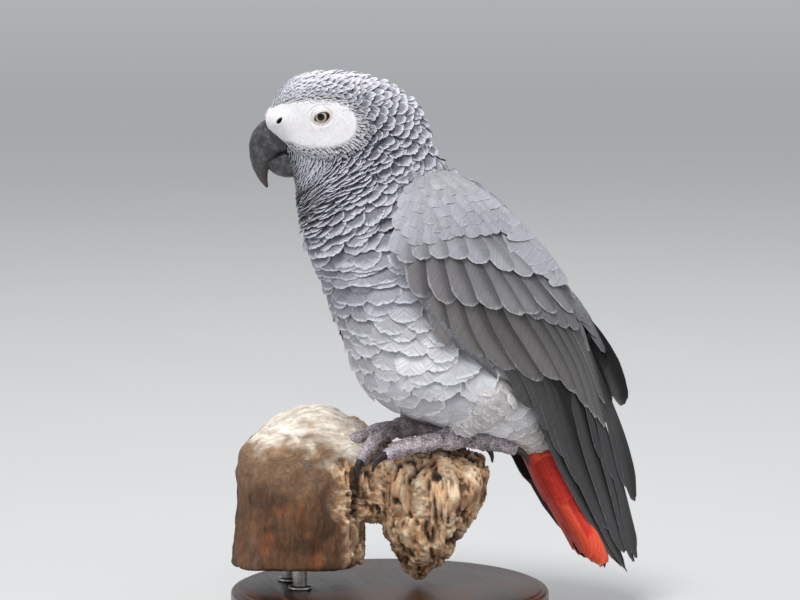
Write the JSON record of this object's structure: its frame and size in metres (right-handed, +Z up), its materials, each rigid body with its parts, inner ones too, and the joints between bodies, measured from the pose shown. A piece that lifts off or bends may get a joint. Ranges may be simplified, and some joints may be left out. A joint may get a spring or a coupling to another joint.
{
  "type": "grey parrot on a perch",
  "caption": "Life-size still model of a grey parrot with a scarlet tail, gripping a gnarled branch on a round display stand.",
  "frame": {"origin": "centre of the display stand's underside", "axes": "+Z up, the bird faces -Y and its left side is at +X"},
  "size_m": [0.176, 0.2338, 0.3064],
  "materials": {
    "plumage": "matte",
    "flight_feathers": "matte",
    "scarlet_feathers": "matte",
    "bare_skin": "matte",
    "scaly_skin": "matte",
    "horn": "satin",
    "eye": "gloss",
    "branch_wood": "rough",
    "stand_wood": "satin",
    "rod_steel": "satin"
  },
  "bodies": {
    "root": {"belly": "plumage", "bill_lower": "horn", "bill_upper": "horn", "breast": "plumage", "claw_1_left": "horn", "claw_1_right": "horn", "claw_2_left": "horn", "claw_2_right": "horn", "claw_3_left": "horn", "claw_3_right": "horn", "claw_4_left": "horn", "claw_4_right": "horn", "coverts_left": "plumage", "coverts_right": "plumage", "eye_left": "eye", "eye_right": "eye", "foot_left": "scaly_skin", "foot_right": "scaly_skin", "head": "plumage", "neck": "plumage", "perch_arm": "branch_wood", "perch_elbow": "branch_wood", "perch_tongue": "branch_wood", "perch_trunk": "branch_wood", "primaries_left": "flight_feathers", "primaries_right": "flight_feathers", "secondaries_left": "flight_feathers", "secondaries_right": "flight_feathers", "shank_left": "scaly_skin", "shank_right": "scaly_skin", "stand_base": "stand_wood", "stand_rod_1": "rod_steel", "stand_rod_2": "rod_steel", "tail": "scarlet_feathers", "thigh_left": "plumage", "thigh_right": "plumage", "toe_1_left": "scaly_skin", "toe_1_right": "scaly_skin", "toe_2_left": "scaly_skin", "toe_2_right": "scaly_skin", "toe_3_left": "scaly_skin", "toe_3_right": "scaly_skin", "toe_4_left": "scaly_skin", "toe_4_right": "scaly_skin", "vent": "plumage"}
  },
  "joints": []
}
